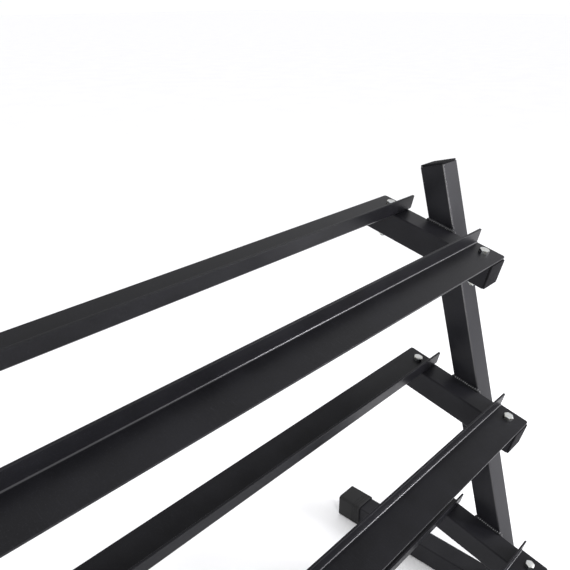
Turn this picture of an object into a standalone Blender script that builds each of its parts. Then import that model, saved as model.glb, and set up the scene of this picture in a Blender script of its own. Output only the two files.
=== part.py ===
"""Three-tier dumbbell rack: two welded end frames joined by six folded-steel rails.

Each end frame is a leaning box-section upright on a horizontal foot, with three sloping arms
welded to its inner face.  Each arm carries a front and a rear angle rail, bolted through from
above, whose upstanding flanges face each other.  Dumbbell heads rest on the flat flanges and
the handle spans the gap between the rails.

World frame, in metres: X runs along the rails, Y from front to back and Z up.  The origin is on
the floor, at the middle of the rack's length and of its feet.
"""

from math import cos, pi, radians, sin, tan

import bmesh
import bpy
from mathutils import Matrix, Vector

# --- driving dimensions ----------------------------------------------------------------------

# Square box section of the uprights, arms and feet.
TUBE = 0.040
TUBE_WALL = 0.0015
TUBE_CORNER = 0.0025

# Folded angle rails.
RAIL_LENGTH = 1.000
RAIL_FLAT = 0.050
RAIL_UPSTAND = 0.025
RAIL_THICKNESS = 0.003
RAIL_BEND = 0.005
RAIL_FLAT_CORNER = 0.004
RAIL_UPSTAND_CORNER = 0.002
RAIL_GAP = 0.116
RAIL_SETBACK = 0.0015

# Layout of the end frames.
TIER_NAMES = ("bottom", "middle", "top")
TIER_SLOPE = radians(13.5)
UPRIGHT_LEAN = radians(16.0)
TIER_PITCH = 0.259
LOWEST_CROSSING_HEIGHT = 0.165
CROSSING_ALONG_ARM = 0.088
UPRIGHT_ABOVE_TOP_TIER = 0.102
UPRIGHT_BASE_Y = -0.1355
FOOT_LENGTH = 0.460

# M8 bolts through rail and arm, with a flange nut below.
BOLT_LENGTH = 0.055
BOLT_RADIUS = 0.004
BOLT_CHAMFER = 0.0008
HOLE_RADIUS = 0.0045
HEX_FLATS = 0.013
CROWN_RADIUS = 0.95 * HEX_FLATS / 2
HEAD_HEIGHT = 0.0053
NUT_HEIGHT = 0.008
NUT_FLANGE_RADIUS = 0.00875
NUT_FLANGE_THICKNESS = 0.0016
NUT_BORE_RADIUS = 0.0044

# Push-in plastic caps and rubber boots.
CAP_FLANGE = 0.003
CAP_EDGE_ROUND = 0.0012
CAP_PLUG_DEPTH = 0.014
CAP_WALL = 0.002
CAP_HOLLOW_CORNER = 0.0006
BOOT_WALL = 0.003
BOOT_SOLE = 0.004
BOOT_LENGTH = 0.050
BOOT_EDGE_ROUND = 0.0012

# Clearance left between solids that touch.
FIT = 0.0003

CORNER_SEGMENTS = 3
ROUND_SEGMENTS = 12
HOLE_SEGMENTS = 16

# Faces that meet at more than this angle have a crisp edge between them.
SHARP_ANGLE = radians(35.0)
# Points closer than this count as being at the same place.
SAME_PLACE = 1e-6

# --- worked out from them --------------------------------------------------------------------

SIDES = {"left": -1.0, "right": 1.0}
ARM_FACE_X = RAIL_LENGTH / 2
ARM_CENTRE_X = ARM_FACE_X - TUBE / 2
UPRIGHT_CENTRE_X = ARM_FACE_X + FIT + TUBE / 2
ARM_DEPTH = 2 * RAIL_FLAT + RAIL_GAP + 2 * RAIL_SETBACK
FOOT_CENTRE_HEIGHT = BOOT_SOLE + FIT + TUBE / 2
FOOT_TOP = FOOT_CENTRE_HEIGHT + TUBE / 2
INNER_TUBE = TUBE - 2 * TUBE_WALL
INNER_CORNER = TUBE_CORNER - TUBE_WALL

# Directions in the plane of an end frame.
ALONG_ARM = Vector((0.0, cos(TIER_SLOPE), sin(TIER_SLOPE)))
OFF_ARM = Vector((0.0, -sin(TIER_SLOPE), cos(TIER_SLOPE)))
UP_UPRIGHT = Vector((0.0, sin(UPRIGHT_LEAN), cos(UPRIGHT_LEAN)))
BEHIND_UPRIGHT = Vector((0.0, cos(UPRIGHT_LEAN), -sin(UPRIGHT_LEAN)))


# --- materials -------------------------------------------------------------------------------


def make_material(name, colour, roughness, metallic=0.0):
    """A Principled BSDF finish."""
    material = bpy.data.materials.new(name)
    material.use_nodes = True
    shader = material.node_tree.nodes["Principled BSDF"]
    shader.inputs["Base Color"].default_value = (*colour, 1.0)
    shader.inputs["Roughness"].default_value = roughness
    shader.inputs["Metallic"].default_value = metallic
    return material


def make_materials():
    """The rack's four finishes."""
    return {
        "powder_coat": make_material("black_powder_coat", (0.020, 0.020, 0.022), 0.45),
        "plastic": make_material("black_plastic", (0.028, 0.028, 0.030), 0.40),
        "rubber": make_material("black_rubber", (0.012, 0.012, 0.012), 0.80),
        "zinc": make_material("bright_zinc", (0.72, 0.74, 0.74), 0.28, 1.0),
    }


# --- mesh helpers ----------------------------------------------------------------------------


def rounded_square(size, radius):
    """Corner points of a square of this size with rounded corners, anticlockwise."""
    points = []
    for corner in range(4):
        centre_angle = pi / 4 + corner * pi / 2
        reach = (size / 2 - radius) * 2**0.5
        centre = (reach * cos(centre_angle), reach * sin(centre_angle))
        for step in range(CORNER_SEGMENTS + 1):
            angle = corner * pi / 2 + step * pi / 2 / CORNER_SEGMENTS
            points.append((centre[0] + radius * cos(angle), centre[1] + radius * sin(angle)))
    return points


def circle(radius, segments):
    """Points round a circle, anticlockwise."""
    return [
        (radius * cos(2 * pi * step / segments), radius * sin(2 * pi * step / segments))
        for step in range(segments)
    ]


def hexagon(flats):
    """Corner points of a hexagon with this distance across its flats."""
    return circle(flats / 2 / cos(pi / 6), 6)


def finish_mesh(name, bm):
    """Turn a bmesh into a mesh with outward faces, smooth rounds and sharp edges."""
    bmesh.ops.recalc_face_normals(bm, faces=bm.faces)
    mesh = bpy.data.meshes.new(name)
    bm.to_mesh(mesh)
    bm.free()
    mesh.shade_smooth()
    mesh.set_sharp_from_angle(angle=SHARP_ANGLE)
    return mesh


def add_ring(bm, points, z):
    """A closed ring of vertices at height z."""
    return [bm.verts.new((x, y, z)) for x, y in points]


def bridge(bm, lower, upper):
    """Side faces between two rings with the same number of vertices."""
    count = len(lower)
    for index in range(count):
        after = (index + 1) % count
        bm.faces.new((lower[index], lower[after], upper[after], upper[index]))


def stack(rings):
    """A solid of revolution-like form: (points, z) rings joined in order, with closed ends."""
    bm = bmesh.new()
    made = [add_ring(bm, points, z) for points, z in rings]
    for lower, upper in zip(made, made[1:]):
        bridge(bm, lower, upper)
    bm.faces.new(made[0])
    bm.faces.new(made[-1])
    return bm


def loop_of_rings(rings):
    """A tube-like body: rings joined in order, and the last joined back to the first."""
    bm = bmesh.new()
    made = [add_ring(bm, points, z) for points, z in rings]
    for lower, upper in zip(made, made[1:] + made[:1]):
        bridge(bm, lower, upper)
    return bm


def put(name, mesh, material, matrix, parent):
    """A named object with its own place under the frame empty."""
    if not mesh.materials:
        mesh.materials.append(material)
    made = bpy.data.objects.new(name, mesh)
    bpy.context.scene.collection.objects.link(made)
    made.parent = parent
    made.matrix_local = matrix
    return made


def cut(target, cutter):
    """Take the cutter's shape out of the target."""
    modifier = target.modifiers.new(cutter.name, "BOOLEAN")
    modifier.operation = "DIFFERENCE"
    modifier.solver = "EXACT"
    modifier.object = cutter


def frame_matrix(origin, x_axis, y_axis, z_axis):
    """The matrix whose columns are these axes and this origin."""
    matrix = Matrix((x_axis, y_axis, z_axis)).transposed().to_4x4()
    matrix.translation = origin
    return matrix


# --- places ----------------------------------------------------------------------------------


def crossing(tier):
    """Where an upright's front face meets the top plane of a tier's arms, at X = 0."""
    height = LOWEST_CROSSING_HEIGHT + tier * TIER_PITCH * cos(UPRIGHT_LEAN)
    return Vector((0.0, UPRIGHT_BASE_Y + (height - FOOT_TOP) * tan(UPRIGHT_LEAN), height))


def on_arm(tier, x, along, off=0.0):
    """A point given by its distance along the arm from its front end, and off its top face."""
    front = crossing(tier) - ALONG_ARM * CROSSING_ALONG_ARM
    return front + Vector((x, 0.0, 0.0)) + ALONG_ARM * along + OFF_ARM * off


def tier_matrix(tier, x, along, off=0.0):
    """Axes square to a tier: local Y runs up the arm and local Z stands off it."""
    return frame_matrix(on_arm(tier, x, along, off), Vector((1, 0, 0)), ALONG_ARM, OFF_ARM)


# --- frame tubes -----------------------------------------------------------------------------


def tube_mesh(length):
    """An open-ended box section along local Z, from z = 0."""
    outer = rounded_square(TUBE, TUBE_CORNER)
    inner = rounded_square(INNER_TUBE, INNER_CORNER)
    return loop_of_rings([(outer, 0.0), (outer, length), (inner, length), (inner, 0.0)])


def upright_mesh():
    """A box section whose foot is cut level and whose top is cut square."""
    top = (crossing(len(TIER_NAMES) - 1).z - FOOT_TOP - FIT) / cos(UPRIGHT_LEAN)
    length = top + UPRIGHT_ABOVE_TOP_TIER
    bm = tube_mesh(length)
    for vertex in bm.verts:
        if vertex.co.z < length / 2:
            behind_front_face = vertex.co.y + TUBE / 2
            vertex.co.z = behind_front_face * tan(UPRIGHT_LEAN)
    return finish_mesh("upright", bm), length


def make_uprights(materials, parent):
    """Both leaning uprights and the flat caps on their tops."""
    mesh, length = upright_mesh()
    cap = cap_mesh("upright_cap")
    for side, sign in SIDES.items():
        base = Vector((sign * UPRIGHT_CENTRE_X, UPRIGHT_BASE_Y, FOOT_TOP + FIT))
        start = base + BEHIND_UPRIGHT * (TUBE / 2)
        matrix = frame_matrix(start, Vector((1, 0, 0)), BEHIND_UPRIGHT, UP_UPRIGHT)
        put(f"upright_{side}", mesh, materials["powder_coat"], matrix, parent)
        top = start + UP_UPRIGHT * (length + FIT)
        cap_matrix = frame_matrix(top, Vector((1, 0, 0)), BEHIND_UPRIGHT, UP_UPRIGHT)
        put(f"upright_cap_{side}", cap, materials["plastic"], cap_matrix, parent)


def make_feet(materials, parent):
    """The two horizontal feet, which run from front to back under the uprights."""
    mesh = finish_mesh("foot", tube_mesh(FOOT_LENGTH))
    boot = boot_mesh()
    for side, sign in SIDES.items():
        centre = Vector((sign * UPRIGHT_CENTRE_X, 0.0, FOOT_CENTRE_HEIGHT))
        start = centre - Vector((0.0, FOOT_LENGTH / 2, 0.0))
        matrix = frame_matrix(start, Vector((1, 0, 0)), Vector((0, 0, -1)), Vector((0, 1, 0)))
        put(f"foot_{side}", mesh, materials["powder_coat"], matrix, parent)
        for end, facing in (("front", -1.0), ("rear", 1.0)):
            end_point = centre + Vector((0.0, facing * (FOOT_LENGTH / 2 + FIT), 0.0))
            axes = (Vector((-facing, 0, 0)), Vector((0, 0, 1)), Vector((0, facing, 0)))
            boot_matrix = frame_matrix(end_point, *axes)
            name = f"foot_boot_{end}_{side}"
            put(name, boot, materials["rubber"], boot_matrix, parent)


def make_arms(materials, parent):
    """The six sloping arms, drilled for their rail bolts, and the caps in their ends."""
    tube_length = ARM_DEPTH - 2 * (CAP_FLANGE + FIT)
    mesh = finish_mesh("arm", tube_mesh(tube_length))
    cap = cap_mesh("arm_cap")
    for tier, tier_name in enumerate(TIER_NAMES):
        for side, sign in SIDES.items():
            x = sign * ARM_CENTRE_X
            low = -TUBE / 2
            start = on_arm(tier, x, CAP_FLANGE + FIT, low)
            matrix = frame_matrix(start, Vector((-1, 0, 0)), OFF_ARM, ALONG_ARM)
            arm = put(f"arm_{tier_name}_{side}", mesh, materials["powder_coat"], matrix, parent)
            for rail_name, along in bolt_stations().items():
                name = f"arm_hole_{tier_name}_{rail_name}_{side}"
                cut(arm, hole_cutter(name, tier_matrix(tier, x, along, low), parent))
            front = frame_matrix(
                on_arm(tier, x, CAP_FLANGE, low), Vector((1, 0, 0)), OFF_ARM, -ALONG_ARM
            )
            rear = frame_matrix(
                on_arm(tier, x, ARM_DEPTH - CAP_FLANGE, low), Vector((-1, 0, 0)), OFF_ARM, ALONG_ARM
            )
            for end, cap_matrix in (("front", front), ("rear", rear)):
                name = f"arm_cap_{end}_{tier_name}_{side}"
                put(name, cap, materials["plastic"], cap_matrix, parent)


# --- caps and boots --------------------------------------------------------------------------


def cap_mesh(name):
    """A push-in cap along local Z: its flange stands on z = 0 and its hollow plug hangs below."""
    plug_size = INNER_TUBE - 2 * FIT
    plug = rounded_square(plug_size, INNER_CORNER - FIT)
    hollow = rounded_square(plug_size - 2 * CAP_WALL, CAP_HOLLOW_CORNER)
    flange = rounded_square(TUBE, TUBE_CORNER)
    face = rounded_square(TUBE - 2 * CAP_EDGE_ROUND, TUBE_CORNER - CAP_EDGE_ROUND)
    rings = [
        (hollow, 0.0),
        (hollow, -CAP_PLUG_DEPTH),
        (plug, -CAP_PLUG_DEPTH),
        (plug, 0.0),
        (flange, 0.0),
        (flange, CAP_FLANGE - CAP_EDGE_ROUND),
        (face, CAP_FLANGE),
    ]
    return finish_mesh(name, stack(rings))


def boot_mesh():
    """A rubber boot over a foot's end: the pocket opens towards -Z and the sole is at -Y."""
    pocket = rounded_square(TUBE + 2 * FIT, TUBE_CORNER + FIT)
    mouth = BOOT_WALL - BOOT_LENGTH
    rings = [
        (pocket, 0.0),
        (pocket, mouth),
        (boot_outline(0.0), mouth),
        (boot_outline(0.0), BOOT_WALL - BOOT_EDGE_ROUND),
        (boot_outline(BOOT_EDGE_ROUND), BOOT_WALL),
    ]
    return finish_mesh("foot_boot", stack(rings))


def boot_outline(inset):
    """A boot's outer outline, drawn in by the inset, with the thicker sole at -Y."""
    size = TUBE + 2 * (FIT + BOOT_WALL - inset)
    radius = TUBE_CORNER + FIT + BOOT_WALL - inset
    sole_extra = BOOT_SOLE - BOOT_WALL
    return [(x, y - sole_extra if y < 0 else y) for x, y in rounded_square(size, radius)]


# --- rails -----------------------------------------------------------------------------------


def rail_outline():
    """The folded section: the flat flange runs from y = 0 to the fold, where the upstand rises."""
    inner_bend = RAIL_BEND - RAIL_THICKNESS
    centre_y = RAIL_FLAT - RAIL_BEND
    points = [(0.0, 0.0)]
    for step in range(CORNER_SEGMENTS + 1):
        angle = -pi / 2 + step * pi / 2 / CORNER_SEGMENTS
        points.append((centre_y + RAIL_BEND * cos(angle), RAIL_BEND + RAIL_BEND * sin(angle)))
    points.append((RAIL_FLAT, RAIL_UPSTAND))
    points.append((RAIL_FLAT - RAIL_THICKNESS, RAIL_UPSTAND))
    for step in range(CORNER_SEGMENTS + 1):
        angle = -step * pi / 2 / CORNER_SEGMENTS
        points.append((centre_y + inner_bend * cos(angle), RAIL_BEND + inner_bend * sin(angle)))
    points.append((0.0, RAIL_THICKNESS))
    return points


def rail_mesh():
    """A straight length of the folded section along local X, with its free corners rounded."""
    bm = bmesh.new()
    ends = []
    for x in (-RAIL_LENGTH / 2, RAIL_LENGTH / 2):
        ends.append([bm.verts.new((x, y, z)) for y, z in rail_outline()])
    bridge(bm, ends[0], ends[1])
    bm.faces.new(ends[0])
    bm.faces.new(ends[1])
    for radius, on_edge in (
        (RAIL_FLAT_CORNER, lambda co: co.y < SAME_PLACE),
        (RAIL_UPSTAND_CORNER, lambda co: co.z > RAIL_UPSTAND - SAME_PLACE),
    ):
        corners = [
            edge
            for edge in bm.edges
            if all(on_edge(vertex.co) for vertex in edge.verts)
            and edge.calc_length() < 2 * RAIL_THICKNESS
        ]
        bmesh.ops.bevel(
            bm,
            geom=corners,
            offset=radius,
            offset_type="OFFSET",
            segments=CORNER_SEGMENTS,
            profile=0.5,
            affect="EDGES",
        )
    return finish_mesh("rail", bm)


def bolt_stations():
    """How far along the arm each rail's bolts stand."""
    near = RAIL_FLAT / 2 + RAIL_SETBACK
    return {"front": near, "rear": ARM_DEPTH - near}


def hole_cutter(name, matrix, parent):
    """A hidden cylinder for a bolt hole, along local Z and longer than the arm is deep."""
    reach = TUBE
    outline = circle(HOLE_RADIUS, HOLE_SEGMENTS)
    mesh = finish_mesh(name, stack([(outline, -reach), (outline, reach)]))
    cutter = bpy.data.objects.new(name, mesh)
    bpy.context.scene.collection.objects.link(cutter)
    cutter.parent = parent
    cutter.matrix_local = matrix
    cutter.display_type = "WIRE"
    cutter.hide_render = True
    return cutter


def rail_matrix(tier, rail_name):
    """A rail's place: its upstand faces the other rail, so the rear rail is turned round."""
    if rail_name == "front":
        return tier_matrix(tier, 0.0, RAIL_SETBACK, FIT)
    free_edge = on_arm(tier, 0.0, ARM_DEPTH - RAIL_SETBACK, FIT)
    return frame_matrix(free_edge, Vector((-1, 0, 0)), -ALONG_ARM, OFF_ARM)


def make_rails(materials, parent):
    """The six rails, drilled at both ends."""
    mesh = rail_mesh()
    for tier, tier_name in enumerate(TIER_NAMES):
        for rail_name, along in bolt_stations().items():
            name = f"rail_{tier_name}_{rail_name}"
            matrix = rail_matrix(tier, rail_name)
            rail = put(name, mesh, materials["powder_coat"], matrix, parent)
            for side, sign in SIDES.items():
                place = tier_matrix(tier, sign * ARM_CENTRE_X, along)
                hole_name = f"rail_hole_{tier_name}_{rail_name}_{side}"
                cut(rail, hole_cutter(hole_name, place, parent))


# --- fasteners -------------------------------------------------------------------------------


def bolt_mesh():
    """A hexagon-head bolt: the head stands on z = 0 and the shank hangs below."""
    shank = circle(BOLT_RADIUS, ROUND_SEGMENTS)
    tip = circle(BOLT_RADIUS - BOLT_CHAMFER, ROUND_SEGMENTS)
    bm = stack([(tip, -BOLT_LENGTH), (shank, -BOLT_LENGTH + BOLT_CHAMFER), (shank, 0.0)])
    top_face = next(face for face in bm.faces if all(v.co.z > -SAME_PLACE for v in face.verts))
    inner = list(top_face.verts)
    bm.faces.remove(top_face)
    outline = hexagon_ring(HEX_FLATS)
    lower = add_ring(bm, outline, 0.0)
    upper = add_ring(bm, outline, HEAD_HEIGHT - BOLT_CHAMFER)
    crown = add_ring(bm, circle(CROWN_RADIUS, ROUND_SEGMENTS), HEAD_HEIGHT)
    bridge(bm, inner, lower)
    bridge(bm, lower, upper)
    bridge(bm, upper, crown)
    bm.faces.new(crown)
    return finish_mesh("rail_bolt", bm)


def hexagon_ring(flats):
    """A hexagon with points added along its sides, to match a circle of ROUND_SEGMENTS."""
    corners = [Vector((x, y)) for x, y in hexagon(flats)]
    per_side = ROUND_SEGMENTS // 6
    points = []
    for index, corner in enumerate(corners):
        after = corners[(index + 1) % 6]
        for step in range(per_side):
            point = corner.lerp(after, step / per_side)
            points.append((point.x, point.y))
    return points


def nut_mesh():
    """A hexagon flange nut below z = 0, with its flange uppermost."""
    bore = circle(NUT_BORE_RADIUS, ROUND_SEGMENTS)
    flange = circle(NUT_FLANGE_RADIUS, ROUND_SEGMENTS)
    outline = hexagon_ring(HEX_FLATS)
    end = circle(CROWN_RADIUS, ROUND_SEGMENTS)
    rings = [
        (bore, 0.0),
        (flange, 0.0),
        (flange, -NUT_FLANGE_THICKNESS / 2),
        (outline, -NUT_FLANGE_THICKNESS),
        (outline, -NUT_HEIGHT + BOLT_CHAMFER),
        (end, -NUT_HEIGHT),
        (bore, -NUT_HEIGHT),
    ]
    return finish_mesh("rail_nut", loop_of_rings(rings))


def make_fasteners(materials, parent):
    """A bolt and a nut at each end of each rail."""
    bolt = bolt_mesh()
    nut = nut_mesh()
    head_seat = RAIL_THICKNESS + 2 * FIT
    nut_seat = -TUBE - FIT
    for tier, tier_name in enumerate(TIER_NAMES):
        for rail_name, along in bolt_stations().items():
            for side, sign in SIDES.items():
                x = sign * ARM_CENTRE_X
                place = f"{tier_name}_{rail_name}_{side}"
                bolt_matrix = tier_matrix(tier, x, along, head_seat)
                nut_matrix = tier_matrix(tier, x, along, nut_seat)
                put(f"rail_bolt_{place}", bolt, materials["zinc"], bolt_matrix, parent)
                put(f"rail_nut_{place}", nut, materials["zinc"], nut_matrix, parent)


# --- the rack --------------------------------------------------------------------------------


def clear_scene():
    """Remove whatever the scene holds."""
    for existing in list(bpy.data.objects):
        bpy.data.objects.remove(existing, do_unlink=True)


def main():
    """Build the whole rack under one empty on the floor."""
    clear_scene()
    materials = make_materials()
    rack = bpy.data.objects.new("rack_frame", None)
    bpy.context.scene.collection.objects.link(rack)
    make_feet(materials, rack)
    make_uprights(materials, rack)
    make_arms(materials, rack)
    make_rails(materials, rack)
    make_fasteners(materials, rack)


main()
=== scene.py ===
"""Looks of a three-tier dumbbell rack: two welded end frames joined by six folded-steel rails.

World frame, in metres: X runs along the rails, Y from front to back and Z up.  Each piece is
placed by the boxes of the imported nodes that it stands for, and its place is in its mesh.
"""

import logging
from dataclasses import dataclass, field
from enum import Enum
from math import asin, cos, pi, radians, sin, sqrt, tan
from typing import Any, Callable, Iterable, Sequence

import bmesh
import bpy
from mathutils import Matrix, Vector


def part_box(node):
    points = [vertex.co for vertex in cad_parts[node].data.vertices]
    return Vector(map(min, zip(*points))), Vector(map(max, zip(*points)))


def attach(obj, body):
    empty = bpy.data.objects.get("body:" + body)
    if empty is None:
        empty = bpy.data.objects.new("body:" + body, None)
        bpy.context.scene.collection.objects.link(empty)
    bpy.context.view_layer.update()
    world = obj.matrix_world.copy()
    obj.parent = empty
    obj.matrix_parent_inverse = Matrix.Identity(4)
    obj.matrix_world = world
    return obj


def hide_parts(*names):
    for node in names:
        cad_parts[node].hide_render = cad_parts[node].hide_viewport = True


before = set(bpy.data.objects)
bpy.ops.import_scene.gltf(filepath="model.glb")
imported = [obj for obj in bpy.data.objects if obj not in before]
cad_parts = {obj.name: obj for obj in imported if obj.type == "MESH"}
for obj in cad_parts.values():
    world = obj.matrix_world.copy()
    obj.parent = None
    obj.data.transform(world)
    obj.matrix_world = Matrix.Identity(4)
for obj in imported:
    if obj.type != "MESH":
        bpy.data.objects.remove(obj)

LOG = logging.getLogger("dumbbell_rack")

MM = 0.001
BODY = "root"

# How finely rounds are drawn: steps in a quarter turn, and points round a turned part.
CORNER_STEPS = 6
TURNED_STEPS = 48
# Edges that turn by more than this stay crisp; smaller turns are shaded as rounds.
SHARP_ANGLE = radians(46.0)
# A face is on a rounded edge when its normal leans this much both ways across it.
ROUNDED_SHARE = 0.3
# The direction along the rails, from the left end frame to the right one.
RIGHTWARDS = Vector((1, 0, 0))


class Tier(Enum):
    """The three shelves of the rack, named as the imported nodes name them."""

    BOTTOM = "bottom"
    MIDDLE = "middle"
    TOP = "top"


class Side(Enum):
    """The two end frames."""

    LEFT = "left"
    RIGHT = "right"


class End(Enum):
    """The two ends of an arm or foot, and the two rails of a tier."""

    FRONT = "front"
    REAR = "rear"


class Slot(Enum):
    """Names for the material slots."""

    FRAME = "frame_coat"
    RAIL = "rail_coat"
    CAP = "plastic_cap"
    BOOT = "rubber_boot"
    FASTENER = "zinc_fastener"


def names(stem: str, *groups: Iterable[Enum]) -> list[str]:
    """Node names made of a stem and one member of each group.

    Args:
        stem: The words that every name starts with.
        groups: The enumerations whose values follow the stem, in order.

    Returns:
        One name for each combination.
    """
    made = [stem]
    for group in groups:
        made = [f"{name}_{member.value}" for name in made for member in group]
    return made


# --- colour, nodes and modifiers --------------------------------------------------------------


def hex_to_linear(code: str) -> tuple[float, float, float, float]:
    """Turn an sRGB hex colour into linear red, green, blue and alpha.

    Args:
        code: Six hex digits, with or without a leading #.

    Returns:
        The linear colour, with alpha 1.
    """
    digits = code.lstrip("#")
    channels = [int(digits[index : index + 2], 16) / 255 for index in (0, 2, 4)]
    linear = [c / 12.92 if c <= 0.04045 else ((c + 0.055) / 1.055) ** 2.4 for c in channels]
    return (linear[0], linear[1], linear[2], 1.0)


def wire(tree: bpy.types.NodeTree, node: bpy.types.Node, inputs: dict[str | int, Any]) -> None:
    """Give a node's inputs their values, or the outputs that feed them."""
    for key, value in inputs.items():
        if isinstance(value, bpy.types.NodeSocket):
            tree.links.new(value, node.inputs[key])
        else:
            node.inputs[key].default_value = value


def add_node(
    tree: bpy.types.NodeTree,
    kind: str,
    inputs: dict[str | int, Any] | None = None,
    **settings: Any,
) -> bpy.types.Node:
    """Add a node with its settings, values and links.

    Args:
        tree: The tree that gets the node.
        kind: The node's type name.
        inputs: For each input, by name or number, a value or the output that feeds it.
        settings: The node's own properties.

    Returns:
        The new node.
    """
    node = tree.nodes.new(kind)
    for setting, value in settings.items():
        setattr(node, setting, value)
    wire(tree, node, inputs or {})
    return node


def new_tree(name: str, inputs: dict[str, str]) -> tuple[bpy.types.NodeTree, bpy.types.Node]:
    """Start a geometry node tree with named inputs.

    Args:
        name: The tree's name.
        inputs: The socket type of each input, by its label.

    Returns:
        The tree and its group input node.
    """
    tree = bpy.data.node_groups.new(name, "GeometryNodeTree")
    tree.interface.new_socket("Geometry", in_out="INPUT", socket_type="NodeSocketGeometry")
    for label, kind in inputs.items():
        tree.interface.new_socket(label, in_out="INPUT", socket_type=f"NodeSocket{kind}")
    tree.interface.new_socket("Geometry", in_out="OUTPUT", socket_type="NodeSocketGeometry")
    return tree, tree.nodes.new("NodeGroupInput")


def end_tree(tree: bpy.types.NodeTree, shape: bpy.types.NodeSocket, finish: Any) -> None:
    """End a tree in real, dressed geometry.

    Args:
        tree: The tree to end.
        shape: The geometry that has been made.
        finish: The output that carries the material.
    """
    real = add_node(tree, "GeometryNodeRealizeInstances", {"Geometry": shape})
    dressed = add_node(tree, "GeometryNodeSetMaterial", {"Geometry": real.outputs[0], "Material": finish})
    add_node(tree, "NodeGroupOutput", {"Geometry": dressed.outputs[0]})


def settle(piece: bpy.types.Object) -> bpy.types.Object:
    """Turn a piece's modifiers into its plain mesh.

    Args:
        piece: The object whose modifiers are applied.

    Returns:
        The same object, with no modifiers.
    """
    piece.update_tag()
    graph = bpy.context.evaluated_depsgraph_get()
    graph.update()
    mesh = bpy.data.meshes.new_from_object(piece.evaluated_get(graph))
    piece.modifiers.clear()
    piece.data = mesh
    mesh.name = piece.name
    return piece


def grow(piece: bpy.types.Object, tree: bpy.types.NodeTree, values: dict[str, Any]) -> bpy.types.Object:
    """Run a geometry node tree on a piece and keep the result as its plain mesh.

    Args:
        piece: The object that the tree runs on.
        tree: The tree.
        values: The value of each named input.

    Returns:
        The same object, with its grown mesh.
    """
    modifier = piece.modifiers.new(tree.name, "NODES")
    modifier.node_group = tree
    sockets = {
        item.name: item.identifier
        for item in tree.interface.items_tree
        if item.item_type == "SOCKET" and item.in_out == "INPUT"
    }
    for label, value in values.items():
        modifier[sockets[label]] = value
    return settle(piece)


# --- mesh helpers -----------------------------------------------------------------------------


def rounded_square(width: float, corner: float) -> list[Vector]:
    """Points round a square with rounded corners, anticlockwise.

    Args:
        width: The length of its sides.
        corner: The radius of its corners.

    Returns:
        The outline, starting on the right-hand side.
    """
    half = width / 2 - corner
    points = []
    for quarter, (sign_x, sign_y) in enumerate(((1, 1), (-1, 1), (-1, -1), (1, -1))):
        for step in range(CORNER_STEPS + 1):
            angle = (quarter + step / CORNER_STEPS) * pi / 2
            points.append(Vector((sign_x * half + corner * cos(angle), sign_y * half + corner * sin(angle))))
    return points


def quarter_round(radius: float, count: int) -> list[tuple[float, float]]:
    """How far in from its foot, and how far below its top, a rounded edge is at each step."""
    turns = [step / count * pi / 2 for step in range(count + 1)]
    return [(radius * (1 - cos(turn)), radius * (1 - sin(turn))) for turn in turns]


def fall(radius: float, distance: float) -> float:
    """How far a rounded edge has fallen away at this distance in from its foot."""
    inside = min(distance / radius, 1.0)
    return radius * (1 - sqrt(1 - (1 - inside) ** 2))


def ring(radius: float | Callable[[float], float]) -> list[Vector]:
    """Points round a closed outline given by its radius.

    Args:
        radius: One radius, or the radius at each angle.

    Returns:
        The outline, anticlockwise.
    """
    angles = [2 * pi * step / TURNED_STEPS for step in range(TURNED_STEPS)]
    reach = radius if callable(radius) else (lambda angle: radius)
    return [Vector((reach(angle) * cos(angle), reach(angle) * sin(angle))) for angle in angles]


def lift(outline: Iterable[Vector], height: float | Callable[[Vector], float]) -> list[Vector]:
    """Raise a flat outline.

    Args:
        outline: Points in the plane.
        height: One height, or the height over each point.

    Returns:
        The points in space.
    """
    rise = height if callable(height) else (lambda point: height)
    return [Vector((point.x, point.y, rise(point))) for point in outline]


def skin(
    rings: Sequence[Sequence[Vector]], endless: bool = False, strips: bool = False
) -> bmesh.types.BMesh:
    """Join rings of points in order into one closed solid.

    Args:
        rings: Rings with the same number of points.
        endless: Join the last ring to the first, instead of closing both ends with a face.
        strips: Close each end with a strip of small faces, for the ends of a bent sheet.

    Returns:
        The solid, with its faces outward.
    """
    bm = bmesh.new()
    made = [[bm.verts.new(point) for point in points] for points in rings]
    followers = made[1:] + made[:1] if endless else made[1:]
    for lower, upper in zip(made, followers):
        for index, vertex in enumerate(lower):
            after = (index + 1) % len(lower)
            bm.faces.new((vertex, lower[after], upper[after], upper[index]))
    if strips:
        for end in (made[0], made[-1]):
            for index in range(len(end) // 2 - 1):
                bm.faces.new((end[index], end[index + 1], end[-index - 2], end[-index - 1]))
    elif not endless:
        bm.faces.new(made[0])
        bm.faces.new(made[-1])
    bmesh.ops.recalc_face_normals(bm, faces=bm.faces)
    return bm


def axes(origin: Vector, x: Vector, y: Vector, z: Vector) -> Matrix:
    """The matrix whose columns are these axes and this origin."""
    matrix = Matrix((x, y, z)).transposed().to_4x4()
    matrix.translation = origin
    return matrix


def make_piece(name: str, shape: bmesh.types.BMesh, place: Matrix | None = None) -> bpy.types.Object:
    """Make an object at the origin from a solid, with its place in its mesh.

    Args:
        name: The piece's name.
        shape: The solid, which is used up.
        place: Where it goes, or None to leave it as drawn.

    Returns:
        The object, smooth over its rounds and crisp at its edges.
    """
    mesh = bpy.data.meshes.new(name)
    if place is not None:
        shape.transform(place)
    shape.to_mesh(mesh)
    shape.free()
    mesh.shade_smooth()
    mesh.set_sharp_from_angle(angle=SHARP_ANGLE)
    piece = bpy.data.objects.new(name, mesh)
    bpy.context.scene.collection.objects.link(piece)
    return piece


def discard(*pieces: bpy.types.Object) -> None:
    """Remove objects that only helped to make others."""
    for piece in pieces:
        bpy.data.objects.remove(piece, do_unlink=True)


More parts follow.
